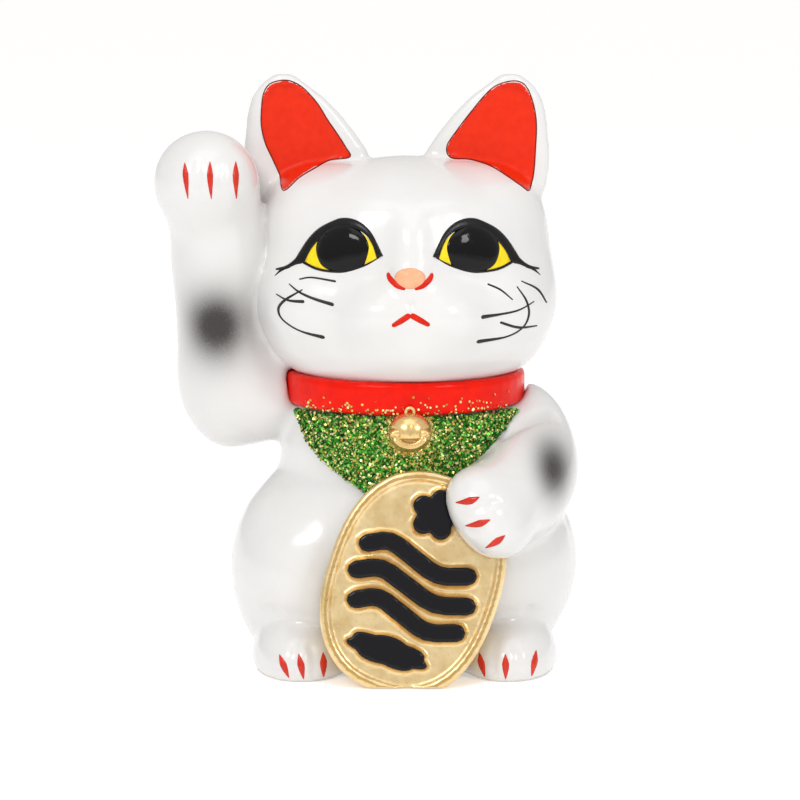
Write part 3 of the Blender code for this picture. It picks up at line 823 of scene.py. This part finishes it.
def make_nose_and_mouth(canvas, paints):
    nose = patch("nose", canvas, ellipse(3.0, 122.6, 4.7, 3.2), 0.35, paints["peach"], samples=48)
    finish_piece(nose)
    marks = [
        brushed([(-3.7, 124.0), (-2.9, 122.2), (-0.8, 120.4), (1.6, 119.3)], (1.0, 1.8, 1.8, 0.7), 40, True),
        brushed([(9.7, 124.0), (8.9, 122.2), (6.8, 120.4), (4.4, 119.3)], (1.0, 1.8, 1.8, 0.7), 40, True),
        brushed([(-2.4, 108.5), (0.2, 110.0), (3.1, 111.9)], (1.3, 1.9, 1.9), 40, True),
        brushed([(8.9, 108.7), (6.2, 110.2), (3.1, 111.9)], (1.3, 1.9, 1.9), 40, True),
    ]
    finish_piece(strokes("nostrils_and_mouth", canvas, marks, 0.3, paints["red"]))


RIGHT_WHISKERS = [
    ([(-30.6, 120.9), (-26.6, 121.6), (-19.3, 120.7)], (0.5, 0.55, 0.7)),
    ([(-33.8, 119.4), (-30.6, 117.2), (-26.0, 115.4), (-19.9, 113.8)], (0.4, 0.7, 0.9, 1.2)),
    ([(-37.8, 116.0), (-34.0, 114.5), (-28.9, 114.4)], (0.4, 0.7, 1.1)),
    (
        [(-29.4, 118.0), (-34.9, 114.5), (-37.0, 111.5), (-35.6, 108.3), (-30.3, 105.3), (-22.7, 103.6)],
        (0.4, 0.9, 0.9, 0.6, 0.6, 1.3),
    ),
]
LEFT_WHISKERS = [
    ([(26.4, 119.9), (30.4, 118.0), (34.2, 114.8)], (0.6, 0.6, 0.4)),
    ([(36.8, 120.2), (42.0, 117.2), (45.0, 112.6)], (0.4, 0.7, 0.5)),
    ([(24.4, 110.4), (30.0, 110.7), (36.0, 111.6), (41.0, 113.8)], (1.4, 0.8, 0.6, 0.4)),
    ([(30.2, 108.3), (36.0, 106.2), (42.0, 106.0)], (0.8, 0.9, 0.5)),
    (
        [(35.4, 118.8), (38.4, 114.2), (39.2, 109.8), (37.2, 105.9), (32.0, 103.5), (23.0, 102.8)],
        (0.4, 0.7, 0.8, 0.6, 0.6, 1.4),
    ),
]


def make_whiskers(canvas, paints):
    for name, marks in (("right_whiskers", RIGHT_WHISKERS), ("left_whiskers", LEFT_WHISKERS)):
        edges = [brushed(path, widths, 80, round_ends=True) for path, widths in marks]
        piece = strokes(name, canvas, edges, 0.2, paints["whisker"])
        finish_piece(piece)


RIGHT_EAR_LINING = [(36.1, 179.5), (33.0, 179.4), (29.9, 177.9), (27.3, 175.6), (24.2, 171.9), (21.4, 167.3)]
RIGHT_EAR_LINING += [(18.5, 163.1), (15.9, 159.0), (14.6, 155.9), (20.6, 154.9), (25.2, 152.9), (29.9, 150.3)]
RIGHT_EAR_LINING += [(34.8, 146.4), (36.6, 150.8), (38.7, 155.4), (40.8, 160.1), (42.0, 165.7), (41.8, 171.9)]
RIGHT_EAR_LINING += [(41.1, 175.8), (39.3, 178.4)]
LEFT_EAR_LINING = [(35.8, 179.4), (31.1, 178.1), (27.5, 175.2), (22.9, 169.7), (18.7, 164.2), (15.6, 159.3)]
LEFT_EAR_LINING += [(16.7, 155.8), (22.9, 155.1), (29.1, 153.4), (34.2, 150.5), (38.4, 147.6), (40.9, 146.0)]
LEFT_EAR_LINING += [(42.1, 148.6), (42.7, 152.5), (43.0, 157.5), (43.3, 164.9), (42.8, 170.0), (41.3, 175.2)]
LEFT_EAR_LINING += [(39.2, 178.5)]


def make_ear_linings(canvas, paints):
    for side, name, lining in ((-1, "right", RIGHT_EAR_LINING), (1, "left", LEFT_EAR_LINING)):
        outline = mirrored(lining, side, EAR_MID)
        piece = patch(name + "_ear_lining", canvas, outline, 0.25, paints["ear"], rings=26, samples=120)
        finish_piece(piece)
        rim = spline(outline, 120, closed=True)
        mark = brushed([*rim, rim[0]], (0.42, 0.42), 240)
        edge = strokes(name + "_ear_edge", canvas, [mark], 0.28, paints["ear_edge"])
        finish_piece(edge)


CLAW_WIDTHS = (0.3, 1.5, 2.3, 2.0, 1.2, 0.3)
RAISED_CLAWS = [
    [(-65.1, 156.0), (-64.7, 151.6), (-64.1, 145.2)],
    [(-57.4, 156.4), (-57.3, 151.4), (-57.0, 145.2)],
    [(-49.8, 156.2), (-49.7, 151.2), (-49.6, 145.0)],
]
KOBAN_CLAWS = [
    [(23.6, 59.0), (20.4, 57.7), (16.6, 56.8)],
    [(26.8, 52.6), (23.2, 51.2), (19.4, 50.2)],
    [(31.2, 47.8), (28.6, 45.8), (25.4, 43.6)],
]
FOOT_CLAWS = [
    [(-36.6, 8.0), (-35.2, 4.8), (-33.7, 1.2)],
    [(-30.7, 8.6), (-29.9, 5.0), (-29.2, 1.0)],
    [(-23.4, 8.6), (-23.2, 5.0), (-23.2, 1.0)],
    [(24.2, 8.0), (24.8, 4.8), (25.8, 1.0)],
    [(31.9, 8.6), (32.0, 5.0), (32.0, 1.0)],
    [(41.4, 8.8), (40.8, 5.2), (40.0, 1.4)],
]


def make_claws(canvas, paints):
    groups = (
        ("raised_paw_claws", RAISED_CLAWS, 0.85),
        ("koban_paw_claws", KOBAN_CLAWS, 1.0),
        ("foot_claws", FOOT_CLAWS, 1.0),
    )
    for name, paths, scale in groups:
        marks = [brushed(path, [w * scale for w in CLAW_WIDTHS], 24) for path in paths]
        piece = strokes(name, canvas, marks, 0.28, paints["claw"], across=7)
        finish_piece(piece)


# Collar, bib and glitter


def remoulded(name, meshes, voxel, rounds, material):
    """CAD solids fused into one skin with softened edges."""
    obj = voxel_skin(joined(name, meshes), voxel)
    soften(obj.data, rounds, np.full(len(obj.data.vertices), 0.5))
    obj.data.materials.clear()
    obj.data.materials.append(material)
    return obj


def make_collar():
    """The moulded band, a little plump and uneven as it is in clay."""
    collar = remoulded("collar_band", [node_bmesh("collar")], 0.6, 6, collar_material())
    return finish_piece(collar, replaces=["collar"])


def make_bib_base():
    bib = remoulded("glitter_bib", [node_bmesh("bib")], 0.5, 14, glitter_base_material())
    return finish_piece(bib, replaces=["bib"])


def surface_samples(tree, count, draw, rng):
    """Points on the front of the figure with their normals, from a draw of (x, z)."""
    found = []
    while len(found) < count:
        x, z = draw(rng)
        hit = tree.ray_cast(world(x, -120, z), Vector((0, 1, 0)))
        if hit[0] is not None:
            found.append((hit[0], hit[1]))
    return found


def flakes(name, spots, rng, radius, tilt, material, lift=0.12):
    """Thin six-sided foil flakes, one mesh, each with its own tone."""
    verts, faces, tones = [], [], []
    thickness = 0.05
    for place, normal in spots:
        size = radius * rng.uniform(0.75, 1.2)
        lean = Vector(rng.normal(0, tilt, 3))
        up = (normal + lean).normalized()
        side = up.orthogonal().normalized()
        other = up.cross(side)
        spin = rng.uniform(0, math.pi)
        middle = place + normal * lift * rng.uniform(0.4, 1.6) * MM
        base = len(verts)
        for level in (-thickness / 2, thickness / 2):
            for corner in range(6):
                turn = spin + math.pi * corner / 3
                reach = (side * math.cos(turn) + other * math.sin(turn)) * size
                verts.append(middle + (reach + up * level) * MM)
        faces.append(tuple(base + i for i in reversed(range(6))))
        faces.append(tuple(base + 6 + i for i in range(6)))
        for i in range(6):
            j = (i + 1) % 6
            faces.append((base + i, base + j, base + 6 + j, base + 6 + i))
        tones += [rng.uniform(0, 1)] * 12
    obj = mesh_object(name, verts, faces, material)
    obj.data.shade_flat()
    attribute = obj.data.attributes.new("tone", "FLOAT", "POINT")
    attribute.data.foreach_set("value", tones)
    return obj


def make_glitter(bib, collar, bell_middle):
    rng = np.random.default_rng(SEED)
    bm = bmesh.new()
    bm.from_mesh(bib.data)
    bib_tree = BVHTree.FromBMesh(bm)
    bm.free()
    bm = bmesh.new()
    bm.from_mesh(collar.data)
    collar_tree = BVHTree.FromBMesh(bm)
    bm.free()

    def over_bib(rng):
        return rng.uniform(-34, 38), rng.uniform(52, 81)

    def over_collar(rng):
        return rng.uniform(-30, 34), 80.5 + abs(rng.normal(0, 1.9))

    def round_bell(rng):
        turn, reach = rng.uniform(0, 2 * math.pi), abs(rng.normal(6.3, 0.7))
        return bell_middle[0] + reach * math.cos(turn), bell_middle[1] + reach * math.sin(turn)

    green = flake_material(
        "green_flakes",
        (0.0, (0.002, 0.035, 0.004)),
        (0.4, (0.014, 0.19, 0.012)),
        (0.75, (0.07, 0.40, 0.025)),
        (1.0, (0.38, 0.64, 0.15)),
    )
    gold = flake_material(
        "gold_flakes",
        (0.0, (0.50, 0.34, 0.05)),
        (0.6, (0.82, 0.66, 0.20)),
        (1.0, (1.0, 0.92, 0.55)),
    )
    spots = surface_samples(bib_tree, 5600, over_bib, rng)
    finish_piece(flakes("green_glitter", spots, rng, 0.45, 0.45, green, 0.25))
    spots = surface_samples(bib_tree, 2300, over_bib, rng)
    spots += surface_samples(bib_tree, 900, round_bell, rng)
    spots += surface_samples(collar_tree, 120, over_collar, rng)
    finish_piece(flakes("gold_glitter", spots, rng, 0.38, 0.5, gold, 0.3))


# Bell


def bell_frame():
    low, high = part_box("bell")
    middle = (low + high) / 2
    radius = (high.x - low.x) / 2 / MM
    return Vector((middle.x, low.y + radius * MM, middle.z)), radius


def soft_step(value, edge, width):
    """0 well below the edge, 1 well above it."""
    t = min(1.0, max(0.0, (value - edge) / width + 0.5))
    return t * t * (3 - 2 * t)


def bell_relief(x, z):
    """How far the bell's front stands out at (x, z), as a share of its radius."""
    lip_reach = math.hypot(x, z - 0.16)
    below = soft_step(-z, 0.02, 0.1)
    lip = math.exp(-(((lip_reach - 0.80) / 0.055) ** 2)) * below
    inner_lip = math.exp(-(((lip_reach - 0.66) / 0.035) ** 2)) * below
    mouth = soft_step(-z, 0.20, 0.10) * soft_step(0.62 - lip_reach, 0.0, 0.1)
    studs = sum(math.exp(-(((x - s * 0.74) ** 2 + (z - 0.06) ** 2) / 0.016)) for s in (-1, 1))
    moats = sum(
        math.exp(-(((math.hypot(x - s * 0.74, z - 0.06) - 0.24) / 0.06) ** 2)) for s in (-1, 1)
    )
    brow = math.exp(-((x / 0.09) ** 2)) * soft_step(z, 0.0, 0.3) * (1 - soft_step(z, 0.75, 0.3))
    return 0.10 * lip + 0.05 * inner_lip - 0.17 * mouth + 0.17 * studs - 0.07 * moats - 0.02 * brow


BELL_FULLNESS = 1.05
BELL_WIDENING = 1.10
# strength of the painted shade in the bell's hollows
BELL_HOLLOW_SHADE = 4.0


def make_bell():
    """A jingle bell boss: a dome over a smiling mouth with a double lip and a stud at each end."""
    middle, radius = bell_frame()
    bm = bmesh.new()
    bmesh.ops.create_icosphere(bm, subdivisions=6, radius=1.0)
    hollow_shade = []
    for vert in bm.verts:
        x, y, z = vert.co
        relief = soft_step(-y, -0.1, 0.4) * bell_relief(x, z)
        # painted shade: how far each point sinks below the dome, kept for darkening the hollows
        hollow_shade.append(min(1.0, max(0.0, -relief * BELL_HOLLOW_SHADE)))
        vert.co *= radius * (BELL_FULLNESS + relief)
        vert.co.x *= BELL_WIDENING
    bm.transform(Matrix.Translation(middle) @ Matrix.Scale(MM, 4))
    bell = joined("bell_boss", [bm])
    attribute = bell.data.attributes.new("hollow", "FLOAT", "POINT")
    attribute.data.foreach_set("value", hollow_shade)
    bell.data.materials.append(bell_material())
    bell.data.shade_smooth()
    finish_piece(bell, replaces=["bell"])
    ring = joined("bell_hoop", [node_bmesh("bell_loop")])
    modifier = ring.modifiers.new("round", "SUBSURF")
    modifier.levels = modifier.render_levels = 2
    mesh = evaluated_mesh(ring)
    ring.modifiers.clear()
    ring.data = mesh
    ring.data.materials.clear()
    ring.data.materials.append(hoop_material())
    ring.data.shade_smooth()
    finish_piece(ring, replaces=["bell_loop"])


# Koban

KOBAN_NODES = ("koban", "koban_blossom", "koban_wave_upper", "koban_wave_middle")
KOBAN_NODES += ("koban_wave_lower", "koban_cloud")
KOBAN_LEAN = math.radians(12)
KOBAN_NORMAL = Vector((0, -math.cos(KOBAN_LEAN), math.sin(KOBAN_LEAN)))
RELIEF_TOP = 1.0  # black enamel lies above this height over the coin's rim


def koban_material(rim_level):
    """Gold lacquer with black enamel on the flat tops of the relief, and painted shade darkening the gold on
    the relief's side walls.
    """
    material, nodes = new_material("koban_gold_and_black")
    height = nodes.add("ShaderNodeVectorMath", operation="DOT_PRODUCT")
    nodes.link(nodes.place(), height.inputs[0])
    height.inputs[1].default_value = KOBAN_NORMAL
    above = nodes.math("SUBTRACT", height.outputs["Value"], rim_level)
    wander = nodes.math("MULTIPLY", nodes.math("SUBTRACT", nodes.noise(500.0), 0.5), 0.00025)
    edge = nodes.math("GREATER_THAN", nodes.math("ADD", above, wander), RELIEF_TOP * MM)
    mottle = nodes.noise(160.0, 4.0, 0.55)
    gold = nodes.ramp(mottle, (0.3, (0.70, 0.50, 0.23)), (0.66, (0.86, 0.68, 0.38)))
    # painted shade: the gold is darkened on the relief's walls, between the coin's field and the black tops,
    # where the strokes' sides fall into shade
    painted_wall_shade = nodes.math("COMPARE", above, 0.5 * RELIEF_TOP * MM, 0.38 * RELIEF_TOP * MM)
    gold = nodes.mix(nodes.math("MULTIPLY", painted_wall_shade, 0.7), gold, (0.50, 0.29, 0.07))
    nodes.colour(nodes.mix(edge, gold, (0.004, 0.004, 0.006)))
    sheen = nodes.ramp(nodes.noise(700.0, 3.0), (0.3, grey(0.26)), (0.7, grey(0.40)))
    nodes.rough(nodes.mix(edge, sheen, grey(0.16)))
    metal = nodes.math("SUBTRACT", 0.9, nodes.math("MULTIPLY", edge, 0.9))
    nodes.link(metal, nodes.shader.inputs["Metallic"])
    nodes.set(Specular_IOR_Level=0.25)
    nodes.bump(nodes.noise(420.0, 3.0), 0.00012, 0.5)
    return material


def make_koban():
    parts = [node_bmesh(n, grow=0.15) for n in KOBAN_NODES]
    rim_level = max(p.co.dot(KOBAN_NORMAL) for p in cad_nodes["koban"].data.vertices)
    koban = remoulded("koban_coin", parts, 0.5, 5, koban_material(rim_level))
    finish_piece(koban, replaces=KOBAN_NODES)


def make_stopper():
    """The rubber bung keeps its shape; it gets rounded edges and a moulded finish."""
    stopper = remoulded("rubber_stopper", [node_bmesh("stopper")], 0.4, 4, rubber_material())
    finish_piece(stopper, body="bung", replaces=["stopper"])


# Stage

STUDIO_WALLS = 0.62  # brightness on all sides
STUDIO_OVERHEAD = 0.24  # added towards the zenith
STUDIO_FRONT = 0.10  # added towards the front
FLOOR_REACH = 12.0  # metres from the middle to the floor's edges
FLOOR_DROP = 0.0002  # keeps the floor from lying in one plane with the figure's foot
LENS = 143.6
SENSOR = 36.0
CAMERA_ELEVATION = math.radians(8.0)
CAMERA_DISTANCE = 1000.0  # millimetres, as are the two heights below
CAMERA_PIVOT = 90.0  # the camera's distance and elevation are measured from here
CAMERA_AIM = 79.6  # the camera looks at this height


def make_floor():
    corners = [(x * FLOOR_REACH, y * FLOOR_REACH, 0) for x, y in ((-1, -1), (1, -1), (1, 1), (-1, 1))]
    material, nodes = new_material("pale_floor")
    nodes.set(Base_Color=(0.88, 0.88, 0.88, 1), Roughness=0.9)
    nodes.set(Emission_Color=(1.0, 1.0, 1.0, 1), Emission_Strength=0.3)
    floor = mesh_object("floor", corners, [(0, 1, 2, 3)], material)
    floor.location.z = -FLOOR_DROP


def area_light(name, place, target, size, power):
    """A rectangular softbox: place and size in metres, power in watts."""
    data = bpy.data.lights.new(name, "AREA")
    data.shape = "RECTANGLE"
    data.size, data.size_y = size
    data.energy = power
    light = bpy.data.objects.new(name, data)
    bpy.context.scene.collection.objects.link(light)
    light.location = place
    light.rotation_euler = (Vector(target) - Vector(place)).to_track_quat("-Z", "Y").to_euler()


def make_lights():
    target = world(0, 0, 95)
    area_light("left_softbox", (-0.50, -0.90, 0.90), target, (0.46, 0.24), 4.3)
    area_light("right_softbox", (0.70, -0.75, 0.70), target, (0.20, 0.36), 2.6)
    area_light("top_softbox", (0.0, -0.35, 1.1), target, (0.8, 0.6), 1.3)


def make_studio():
    """A pale studio, brighter overhead and in front than at the sides and the back."""
    studio = bpy.data.worlds.new("studio")
    studio.use_nodes = True
    nodes = Nodes(studio.node_tree, "Background")
    separate = nodes.add("ShaderNodeSeparateXYZ")
    nodes.link(nodes.add("ShaderNodeTexCoord").outputs["Generated"], separate.inputs[0])
    overhead = nodes.math("MAXIMUM", separate.outputs["Z"], 0.0)
    front = nodes.math("MAXIMUM", nodes.math("MULTIPLY", separate.outputs["Y"], -1.0), 0.0)
    light = nodes.math("MULTIPLY_ADD", overhead, STUDIO_OVERHEAD, STUDIO_WALLS)
    light = nodes.math("MULTIPLY_ADD", nodes.math("MULTIPLY", front, front), STUDIO_FRONT, light)
    nodes.link(light, nodes.shader.inputs["Strength"])
    nodes.shader.inputs["Color"].default_value = (1.0, 0.99, 0.98, 1)
    bpy.context.scene.world = studio


def make_camera():
    data = bpy.data.cameras.new("camera")
    data.sensor_width = SENSOR
    data.lens = LENS
    camera = bpy.data.objects.new("camera", data)
    bpy.context.scene.collection.objects.link(camera)
    back = CAMERA_DISTANCE * math.cos(CAMERA_ELEVATION)
    height = CAMERA_PIVOT + CAMERA_DISTANCE * math.sin(CAMERA_ELEVATION)
    camera.location = world(0, -back, height)
    aim = world(0, 0, CAMERA_AIM)
    camera.rotation_euler = (aim - camera.location).to_track_quat("-Z", "Y").to_euler()
    bpy.context.scene.camera = camera


# colour, darker streaks, roughness, specular, coat
ENAMELS = {
    "red": ((0.66, 0.018, 0.004), (0.50, 0.012, 0.003), 0.25, 0.15, 0.0),
    "ear": ((0.74, 0.026, 0.004), (0.68, 0.020, 0.003), 0.3, 0.15, 0.0),
    "ear_edge": ((0.16, 0.012, 0.006), (0.12, 0.010, 0.005), 0.3, 0.15, 0.0),
    "claw": ((0.62, 0.028, 0.010), (0.46, 0.018, 0.006), 0.2, 0.3, 0.1),
    "black": ((0.006, 0.006, 0.007), (0.002, 0.002, 0.002), 0.22, 0.25, 0.0),
    "pupil": ((0.0012, 0.0012, 0.0016), (0.0005, 0.0005, 0.0008), 0.03, 0.24, 0.0),
    "whisker": ((0.010, 0.010, 0.010), (0.02, 0.02, 0.02), 0.3, 0.3, 0.0),
    "yellow": ((0.87, 0.66, 0.008), (0.80, 0.55, 0.006), 0.2, 0.3, 0.0),
    "peach": ((0.86, 0.44, 0.25), (0.78, 0.36, 0.20), 0.25, 0.3, 0.0),
}


def main():
    bpy.context.scene.view_settings.view_transform = "Standard"
    paints = {name: enamel_material(name + "_enamel", *look) for name, look in ENAMELS.items()}
    glaze = glaze_material()
    head, body = head_skin(), body_skin()
    for skin in (head, body):
        skin.data.materials.clear()
        skin.data.materials.append(glaze)
    canvas = Canvas(head, body)
    make_eyes(canvas, paints)
    make_nose_and_mouth(canvas, paints)
    make_whiskers(canvas, paints)
    make_ear_linings(canvas, paints)
    make_claws(canvas, paints)
    hollow_out(body)
    finish_piece(head, replaces=HEAD_NODES)
    finish_piece(body, replaces=BODY_NODES)
    collar = make_collar()
    bib = make_bib_base()
    middle, _ = bell_frame()
    bell_middle = ((middle.x - ORIGIN.x) / MM, middle.z / MM)
    make_glitter(bib, collar, bell_middle)
    make_bell()
    make_koban()
    make_stopper()
    make_floor()
    make_lights()
    make_studio()
    make_camera()


main()
